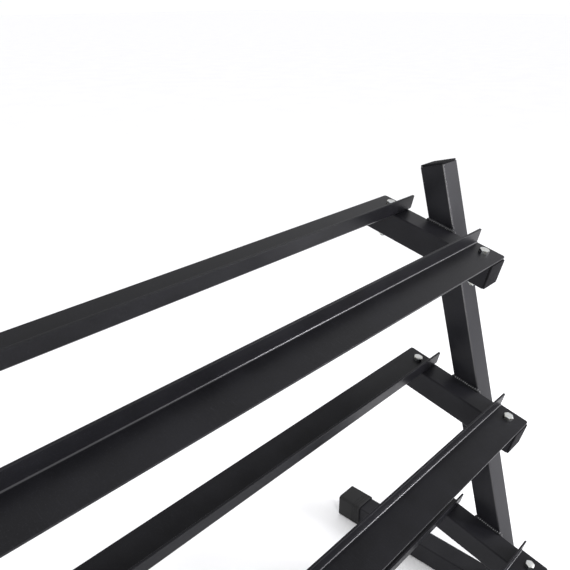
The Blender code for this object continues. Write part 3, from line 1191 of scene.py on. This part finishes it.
@dataclass
class Welds:
    """Coated fillet welds round every arm and round the foot of each upright."""

    layout: Layout
    coat: bpy.types.Material
    bead: float = 3.4 * MM
    ripple: float = 3.6 * MM
    ripple_depth: float = 0.26
    wander: float = 1.3 * MM
    wander_length: float = 8 * MM
    step: float = 0.45 * MM
    groove: float = 0.3 * MM
    inset: float = -0.2 * MM
    corner: float = 3 * MM
    corner_steps: int = 4
    seed: float = 3.0

    def build(self) -> None:
        """Build and dress the arm welds and the foot welds."""
        tree = self.plant()
        for name, loops in (("arm_welds", self.arm_loops()), ("upright_foot_welds", self.foot_loops())):
            shape = bmesh.new()
            for loop in loops:
                corners = [shape.verts.new(point) for point in loop]
                for first, second in zip(corners, corners[1:] + corners[:1]):
                    shape.edges.new((first, second))
            values = {
                "Bead": self.bead,
                "Step": self.step,
                "Ripple": self.ripple,
                "Ripple Depth": self.ripple_depth,
                "Wander": self.wander,
                "Wander Length": self.wander_length,
                "Seed": self.seed,
                "Finish": self.coat,
            }
            piece = grow(make_piece(name, shape), tree, values)
            piece.data.shade_smooth()
            publish(piece)

    def rounded_loop(self, corners: Sequence[Vector], lifts: Sequence[Vector]) -> list[Vector]:
        """A loop through four corners, rounded, with each side moved by its own lift.

        Args:
            corners: The corners, in order.
            lifts: How far each side is moved, the first being the side after the first corner.

        Returns:
            The points of the loop.
        """
        points = []
        for index, corner in enumerate(corners):
            before = (corners[index - 1] - corner).normalized()
            after = (corners[(index + 1) % len(corners)] - corner).normalized()
            for step in range(self.corner_steps + 1):
                share = step / self.corner_steps
                lift_here = lifts[index - 1].lerp(lifts[index], share)
                near = corner + before * (self.corner * (1 - share) ** 2)
                points.append(near + after * (self.corner * share**2) + lift_here)
        return points

    def arm_loops(self) -> list[list[Vector]]:
        """The paths of the beads round the arms, where each meets its upright's inner face.

        Returns:
            One closed path for each arm.
        """
        loops = []
        layout = self.layout
        low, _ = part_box("upright_left")
        for side in Side:
            sign = -1.0 if side is Side.LEFT else 1.0
            for tier in Tier:
                arm_low, arm_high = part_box(f"arm_{tier.value}_{side.value}")
                face_x = arm_high.x if side is Side.RIGHT else arm_low.x
                centre = (arm_low + arm_high) / 2
                front = low.y + (centre.z - low.z) * tan(layout.lean)
                # Where the upright's front face crosses the arm's middle line.
                slope = layout.along.z / layout.along.y
                leaning = layout.up.y / layout.up.z
                gap = front - centre.y
                shift = gap * slope / (1 - slope * leaning)
                axis = Vector((face_x, centre.y + (gap + shift * leaning), centre.z + shift))
                loops.append(self.arm_loop(axis, RIGHTWARDS * -sign))
        return loops

    def arm_loop(self, crossing: Vector, inwards: Vector) -> list[Vector]:
        """The path round one arm.

        Args:
            crossing: Where the upright's front face meets the arm's middle line.
            inwards: The direction from the upright's face towards the arm.

        Returns:
            The closed path.
        """
        layout = self.layout
        half = layout.tube / 2 - self.inset
        # Steps along the upright and along the arm that keep to both tubes' edges.
        climb = layout.up * (half / layout.up.dot(layout.off))
        run = layout.along * (layout.tube / layout.along.dot(layout.behind))
        margin = layout.along * (self.inset / layout.along.dot(layout.behind))
        front_top = crossing + climb + margin
        rear_top = crossing + climb + run - margin
        rear_foot = crossing - climb + run - margin
        front_foot = crossing - climb + margin
        over_arm = inwards * self.groove
        over_upright = -inwards * self.groove
        return self.rounded_loop(
            [front_top, rear_top, rear_foot, front_foot],
            [over_arm, over_upright, over_arm, over_upright],
        )

    def foot_loops(self) -> list[list[Vector]]:
        """The paths of the beads round the feet of the uprights.

        Returns:
            One closed path for each upright.
        """
        loops = []
        depth = self.layout.tube / self.layout.up.z
        for side in Side:
            low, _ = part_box(f"upright_{side.value}")
            left, right = low.x + self.inset, low.x + self.layout.tube - self.inset
            front, rear = low.y + self.inset * 0.5, low.y + depth - self.inset * 0.5
            plan = ((left, front), (right, front), (right, rear), (left, rear))
            corners = [Vector((x, y, low.z)) for x, y in plan]
            still = Vector((0, 0, 0))
            sunk = Vector((0, 0, -self.inset))
            loops.append(self.rounded_loop(corners, [still, sunk, still, sunk]))
        return loops

    @staticmethod
    def plant() -> bpy.types.NodeTree:
        """Build the tree that lays a rippled bead along a path.

        Returns:
            The tree.
        """
        tree, given = new_tree(
            "lay_weld_bead",
            {label: "Float" for label in ("Bead", "Step", "Ripple", "Ripple Depth")}
            | {label: "Float" for label in ("Wander", "Wander Length", "Seed")}
            | {"Finish": "Material"},
        )
        feed = given.outputs
        path = add_node(tree, "GeometryNodeMeshToCurve", {"Mesh": feed["Geometry"]})
        even = add_node(
            tree,
            "GeometryNodeResampleCurve",
            {"Curve": path.outputs[0], "Length": feed["Step"]},
            mode="LENGTH",
        )
        scale = add_node(tree, "ShaderNodeMath", {0: 1.0, 1: feed["Wander Length"]}, operation="DIVIDE")
        noise = add_node(
            tree,
            "ShaderNodeTexNoise",
            {"W": feed["Seed"], "Scale": scale.outputs[0], "Detail": 2.0},
            noise_dimensions="4D",
        )
        centred = add_node(
            tree,
            "ShaderNodeVectorMath",
            {0: noise.outputs["Color"], 1: (0.5, 0.5, 0.5)},
            operation="SUBTRACT",
        )
        moved = add_node(
            tree,
            "ShaderNodeVectorMath",
            {0: centred.outputs[0], "Scale": feed["Wander"]},
            operation="SCALE",
        )
        wandered = add_node(
            tree, "GeometryNodeSetPosition", {"Geometry": even.outputs[0], "Offset": moved.outputs[0]}
        )
        along = add_node(tree, "GeometryNodeSplineParameter")
        share = along.outputs["Length"]
        # The bead is full at the middle of each ripple and dips by the ripple depth at its ends.
        for operation, other in (
            ("DIVIDE", feed["Ripple"]),
            ("FRACT", 0.0),
            ("SUBTRACT", 0.5),
            ("POWER", 2.0),
            ("MULTIPLY", feed["Ripple Depth"]),
            ("MULTIPLY", -4.0),
            ("ADD", 1.0),
        ):
            share = add_node(tree, "ShaderNodeMath", {0: share, 1: other}, operation=operation).outputs[0]
        profile = add_node(
            tree, "GeometryNodeCurvePrimitiveCircle", {"Resolution": 12, "Radius": feed["Bead"]}
        )
        bead = add_node(
            tree,
            "GeometryNodeCurveToMesh",
            {"Curve": wandered.outputs[0], "Profile Curve": profile.outputs[0], "Scale": share},
        )
        end_tree(tree, bead.outputs[0], feed["Finish"])
        return tree


# --- finishes ---------------------------------------------------------------------------------


def per_metre(size_mm: float) -> float:
    """The texture scale that makes a pattern's features this many millimetres apart."""
    return 1.0 / (size_mm * MM)


@dataclass(frozen=True)
class Shader:
    """A material being made: its tree, its main shader and its object coordinates."""

    material: bpy.types.Material
    tree: bpy.types.NodeTree
    surface: bpy.types.Node
    place: bpy.types.NodeSocket

    @classmethod
    def start(cls, name: str) -> "Shader":
        """Start a material with an empty Principled surface.

        Args:
            name: The material's name.

        Returns:
            The material being made.
        """
        material = bpy.data.materials.new(name)
        material.use_nodes = True
        tree = material.node_tree
        place = add_node(tree, "ShaderNodeTexCoord").outputs["Object"]
        return cls(material, tree, tree.nodes["Principled BSDF"], place)

    def noise(
        self,
        size_mm: float,
        detail: float = 2.0,
        stretch: tuple[float, float, float] | None = None,
        distortion: float = 0.0,
    ) -> bpy.types.NodeSocket:
        """A noise pattern with features of a real size.

        Args:
            size_mm: How far apart its features are.
            detail: How many finer octaves it has.
            stretch: How much it is squeezed along each axis, or None.
            distortion: How much it swirls.

        Returns:
            Its value, from 0 to 1.
        """
        where = self.place
        if stretch is not None:
            where = add_node(self.tree, "ShaderNodeMapping", {"Vector": where, "Scale": stretch}).outputs[0]
        texture = add_node(
            self.tree,
            "ShaderNodeTexNoise",
            {"Vector": where, "Scale": per_metre(size_mm), "Detail": detail, "Distortion": distortion},
        )
        return texture.outputs["Fac"]

    def between(
        self, value: bpy.types.NodeSocket, low: float, high: float, start: float = 0.3, end: float = 0.7
    ) -> bpy.types.NodeSocket:
        """Stretch a pattern's middle range to run between two values.

        Args:
            value: The pattern.
            low: The result at its low end.
            high: The result at its high end.
            start: Where its low end is.
            end: Where its high end is.

        Returns:
            The stretched value.
        """
        node = add_node(
            self.tree,
            "ShaderNodeMapRange",
            {"Value": value, "From Min": start, "From Max": end, "To Min": low, "To Max": high},
        )
        return node.outputs[0]

    def blend(self, share: bpy.types.NodeSocket, first: Any, second: Any) -> bpy.types.NodeSocket:
        """Mix two colours, each a hex code or an output."""
        colours = [hex_to_linear(one) if isinstance(one, str) else one for one in (first, second)]
        node = add_node(
            self.tree, "ShaderNodeMix", {0: share, 6: colours[0], 7: colours[1]}, data_type="RGBA"
        )
        return node.outputs[2]

    def relief(
        self, height: bpy.types.NodeSocket, depth_mm: float, over: bpy.types.NodeSocket | None = None
    ) -> bpy.types.NodeSocket:
        """Raise a pattern from the surface.

        Args:
            height: The pattern, from 0 to 1.
            depth_mm: How far it rises.
            over: A relief that it is laid over, or None.

        Returns:
            The new normal.
        """
        inputs = {"Height": height, "Distance": depth_mm * MM, "Strength": 1.0}
        if over is not None:
            inputs["Normal"] = over
        return add_node(self.tree, "ShaderNodeBump", inputs).outputs[0]

    def feed(self, **inputs: Any) -> None:
        """Set or link inputs of the surface, named with underscores for spaces."""
        spaced = {label.replace("_", " "): value for label, value in inputs.items()}
        wire(self.tree, self.surface, spaced)


@dataclass(frozen=True)
class PowderCoat:
    """Electrostatically sprayed polyester powder on steel, stoved to a satin black.

    It gives a soft, broad gloss broken by the orange peel of powder that has flowed together,
    a little cloudier in some places than others, with a few paler specks of unmelted grain.
    """

    name: str = "satin_black_powder_coat"
    deep: str = "#17171a"
    pale: str = "#1e1e21"
    fleck: str = "#2c2c31"
    roughness: tuple[float, float] = (0.31, 0.40)
    specular_level: float = 0.14
    # Real peel is about 1.5 mm across; it is drawn at 2.4 mm so that it shows.
    peel_mm: float = 2.4
    peel_depth_mm: float = 0.02
    grit_mm: float = 0.7
    grit_depth_mm: float = 0.012
    cloud_mm: float = 55.0

    def build(self) -> bpy.types.Material:
        """Build the material.

        Returns:
            The material.
        """
        shader = Shader.start(self.name)
        cloud = shader.noise(self.cloud_mm, detail=3.0)
        grit = shader.noise(self.grit_mm, detail=1.0)
        peel = shader.relief(shader.noise(self.peel_mm, detail=1.0), self.peel_depth_mm)
        shader.feed(
            Base_Color=self.colour(shader, cloud, grit),
            Roughness=shader.between(cloud, *self.roughness),
            Specular_IOR_Level=self.specular_level,
            Normal=shader.relief(grit, self.grit_depth_mm, over=peel),
        )
        return shader.material

    def colour(
        self, shader: "Shader", cloud: bpy.types.NodeSocket, grit: bpy.types.NodeSocket
    ) -> bpy.types.NodeSocket:
        """The coat's cloudy black with its paler specks.

        Args:
            shader: The material being made.
            cloud: The pattern of its cloudiness.
            grit: The pattern of its grain.

        Returns:
            The colour.
        """
        body = shader.blend(shader.between(cloud, 0.0, 1.0), self.deep, self.pale)
        flecks = shader.between(grit, 0.0, 0.8, start=0.64, end=0.74)
        return shader.blend(flecks, body, self.fleck)


@dataclass(frozen=True)
class BurnishedCoat(PowderCoat):
    """The same coat with more gloss, on corners, folds and beads, where such a coat pulls thin.

    It gives a thin bright line along an edge, and small bright flecks on a bead's ripples.
    """

    name: str = "satin_black_coat_burnished"
    roughness: tuple[float, float] = (0.25, 0.33)
    specular_level: float = 0.55
    peel_depth_mm: float = 0.01


@dataclass(frozen=True)
class RubbedCoatWithPaintedShade(PowderCoat):
    """The same satin powder coat on the rails, where weights have slid over it.

    It gives the coat's gloss over a deeper black than the frames' coat, which is painted shade
    on the rails, with patches of faint paler hairlines of wear that run across the rails.
    """

    name: str = "satin_black_rail_coat"
    # A deeper black than the frames' coat: painted shade over the whole of each rail.
    deep: str = "#121214"
    pale: str = "#19191c"
    rub: str = "#26262a"
    hairline_mm: float = 0.9
    hairline_length: float = 0.05
    patch_mm: float = 120.0

    def colour(
        self, shader: "Shader", cloud: bpy.types.NodeSocket, grit: bpy.types.NodeSocket
    ) -> bpy.types.NodeSocket:
        """The coat's colour with the hairlines over it.

        Args:
            shader: The material being made.
            cloud: The pattern of its cloudiness.
            grit: The pattern of its grain.

        Returns:
            The colour.
        """
        coat = super().colour(shader, cloud, grit)
        lines = shader.noise(self.hairline_mm, detail=2.0, stretch=(1.0, self.hairline_length, 0.2))
        patches = shader.noise(self.patch_mm, detail=2.0)
        worn = shader.between(lines, 0.0, 0.75, start=0.60, end=0.74)
        here = shader.between(patches, 0.0, 1.0, start=0.42, end=0.62)
        amount = add_node(shader.tree, "ShaderNodeMath", {0: worn, 1: here}, operation="MULTIPLY")
        return shader.blend(amount.outputs[0], coat, self.rub)


@dataclass(frozen=True)
class ZincPlate:
    """Cold-headed steel, barrel plated with zinc and passivated clear.

    It gives a bright, slightly blue metal whose gloss is cloudy from tumbling, with faint
    straw-coloured patches.
    """

    name: str = "clear_passivated_zinc"
    bright: str = "#c9cdd1"
    straw: str = "#bdb9a8"
    roughness: tuple[float, float] = (0.24, 0.40)
    cloud_mm: float = 4.0
    # Plating grain is far finer than this; it is drawn at 0.6 mm so that it shows.
    grain_mm: float = 0.6
    grain_depth_mm: float = 0.006

    def build(self) -> bpy.types.Material:
        """Build the material.

        Returns:
            The material.
        """
        shader = Shader.start(self.name)
        cloud = shader.noise(self.cloud_mm, detail=3.0)
        grain = shader.noise(self.grain_mm, detail=2.0)
        shader.feed(
            Base_Color=shader.blend(shader.between(cloud, 0.0, 0.7), self.bright, self.straw),
            Metallic=1.0,
            Roughness=shader.between(grain, *self.roughness),
            Normal=shader.relief(grain, self.grain_depth_mm),
        )
        return shader.material


@dataclass(frozen=True)
class MouldedPolyethylene:
    """Injection-moulded black low-density polyethylene with a spark-eroded mould finish.

    It gives a dull, waxy black close to the coat's, with an even fine grain and hardly any gloss.
    """

    name: str = "moulded_black_polyethylene"
    deep: str = "#141415"
    pale: str = "#1c1c1e"
    roughness: tuple[float, float] = (0.72, 0.84)
    specular_level: float = 0.05
    flow_mm: float = 18.0
    # Spark erosion leaves pits of about 0.2 mm; they are drawn at 0.8 mm so that they show.
    pit_mm: float = 0.8
    pit_depth_mm: float = 0.02

    def build(self) -> bpy.types.Material:
        """Build the material.

        Returns:
            The material.
        """
        shader = Shader.start(self.name)
        flow = shader.noise(self.flow_mm, detail=2.0, distortion=0.6)
        pits = shader.noise(self.pit_mm, detail=2.0)
        shader.feed(
            Base_Color=shader.blend(shader.between(flow, 0.0, 1.0), self.deep, self.pale),
            Roughness=shader.between(pits, *self.roughness),
            Specular_IOR_Level=self.specular_level,
            Normal=shader.relief(pits, self.pit_depth_mm),
        )
        return shader.material


@dataclass(frozen=True)
class MouldedRubber:
    """Compression-moulded black nitrile rubber.

    It gives a dull charcoal black with a little grey bloom and a weak, broad gloss.
    """

    name: str = "moulded_black_rubber"
    deep: str = "#111112"
    bloom: str = "#1d1d1d"
    roughness: tuple[float, float] = (0.68, 0.82)
    specular_level: float = 0.35
    bloom_mm: float = 14.0
    pore_mm: float = 1.0
    pore_depth_mm: float = 0.03

    def build(self) -> bpy.types.Material:
        """Build the material.

        Returns:
            The material.
        """
        shader = Shader.start(self.name)
        bloom = shader.noise(self.bloom_mm, detail=4.0)
        pores = shader.noise(self.pore_mm, detail=2.0)
        shader.feed(
            Base_Color=shader.blend(shader.between(bloom, 0.0, 1.0), self.deep, self.bloom),
            Roughness=shader.between(bloom, *self.roughness),
            Specular_IOR_Level=self.specular_level,
            Normal=shader.relief(pores, self.pore_depth_mm),
        )
        return shader.material


@dataclass(frozen=True)
class PaintedFloor:
    """Matt white studio floor paint, rolled on; it gives a plain pale ground with soft shadows."""

    name: str = "matt_white_floor_paint"
    white: str = "#fefefe"
    grey: str = "#fbfbfb"
    nap_mm: float = 300.0

    def build(self) -> bpy.types.Material:
        """Build the material.

        Returns:
            The material.
        """
        shader = Shader.start(self.name)
        rolled = shader.noise(self.nap_mm, detail=3.0)
        shader.feed(
            Base_Color=shader.blend(shader.between(rolled, 0.0, 1.0), self.white, self.grey),
            Roughness=0.9,
            Specular_IOR_Level=0.2,
        )
        return shader.material


# --- studio -----------------------------------------------------------------------------------


@dataclass(frozen=True)
class Softbox:
    """A rectangular soft light, unseen by the camera."""

    name: str
    place: tuple[float, float, float]
    aim: tuple[float, float, float]
    size: tuple[float, float]
    radiance: float
    colour: str = "#ffffff"

    def build(self) -> None:
        """Put the light in the scene."""
        light = bpy.data.lights.new(self.name, "AREA")
        light.shape = "RECTANGLE"
        light.size, light.size_y = self.size
        light.energy = self.radiance * pi * self.size[0] * self.size[1]
        light.color = hex_to_linear(self.colour)[:3]
        lamp = bpy.data.objects.new(self.name, light)
        bpy.context.scene.collection.objects.link(lamp)
        facing = Vector(self.aim) - Vector(self.place)
        turned = facing.to_track_quat("-Z", "Y").to_matrix().to_4x4()
        lamp.matrix_world = Matrix.Translation(self.place) @ turned
        lamp.visible_camera = False


@dataclass(frozen=True)
class Studio:
    """A white floor under an even sky, with one broad and two narrow softboxes in front."""

    sky: str = "#fdfdff"
    sky_strength: float = 1.03
    floor_reach: float = 40.0
    floor_tiles: int = 8
    floor_drop: float = 0.2 * MM
    softboxes: tuple[Softbox, ...] = (
        Softbox("key_front_right", (2.2, -1.8, 1.2), (0.3, 0.0, 0.6), (1.5, 0.7), 6.5, "#fbf9ff"),
        Softbox("strip_front", (1.54, -1.6, 0.82), (0.1, -0.2, 0.6), (0.1, 0.8), 90.0, "#faf8ff"),
        Softbox("edge_front_left", (-1.3, -3.0, 1.2), (0.4, 0.0, 0.6), (0.25, 1.5), 62.0),
    )

    def build(self) -> None:
        """Build the floor, the sky and the lights."""
        world = bpy.data.worlds.new("studio_sky")
        world.use_nodes = True
        background = world.node_tree.nodes["Background"]
        background.inputs["Color"].default_value = hex_to_linear(self.sky)
        background.inputs["Strength"].default_value = self.sky_strength
        bpy.context.scene.world = world
        bpy.context.scene.view_settings.view_transform = "Standard"
        shape = bmesh.new()
        tiles = self.floor_tiles
        bmesh.ops.create_grid(shape, x_segments=tiles, y_segments=tiles, size=self.floor_reach)
        floor = make_piece("studio_floor", shape, Matrix.Translation((0, 0, -self.floor_drop)))
        floor.data.materials.append(PaintedFloor().build())
        for softbox in self.softboxes:
            softbox.build()


@dataclass(frozen=True)
class Camera:
    """The camera: close in front of the left half, above its top, looking down to the right."""

    stand: tuple[float, float, float] = (-0.3553, -0.4057, 0.9867)
    turn: float = radians(47.22)
    tilt: float = radians(-23.72)
    roll: float = radians(-0.16)
    lens: float = 41.50
    sensor: float = 36.0
    near_clip: float = 0.02

    def build(self) -> None:
        """Put the camera in the scene and make it the one in use."""
        ahead = Vector((sin(self.turn) * cos(self.tilt), cos(self.turn) * cos(self.tilt), sin(self.tilt)))
        level = Vector((cos(self.turn), -sin(self.turn), 0.0))
        above = level.cross(ahead)
        right = level * cos(self.roll) + above * sin(self.roll)
        settings = bpy.data.cameras.new("camera")
        settings.lens = self.lens
        settings.sensor_width = self.sensor
        settings.clip_start = self.near_clip
        camera = bpy.data.objects.new("camera", settings)
        bpy.context.scene.collection.objects.link(camera)
        camera.matrix_world = axes(Vector(self.stand), right, right.cross(ahead), -ahead)
        bpy.context.scene.camera = camera


# --- the rack ---------------------------------------------------------------------------------


def main() -> None:
    """Build the whole rack and its studio, and log the face count of each published piece."""
    logging.basicConfig(level=logging.INFO, format="%(message)s")
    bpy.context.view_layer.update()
    layout = Layout.read()
    rack = Rack(layout)
    coat = PowderCoat().build()
    burnished_coat = BurnishedCoat().build()
    plastic = MouldedPolyethylene().build()
    fasteners = Fasteners(layout, rack, ZincPlate().build())
    holes = fasteners.holes()
    EndFrames(layout, coat, burnished_coat, holes).build()
    Rails(layout, RubbedCoatWithPaintedShade().build(), burnished_coat, holes).build()
    discard(holes)
    fasteners.build()
    Plugs(layout, rack, plastic).build()
    Boots(layout, rack, MouldedRubber().build()).build()
    Welds(layout, burnished_coat).build()
    Studio().build()
    Camera().build()


if __name__ == "__main__":
    main()
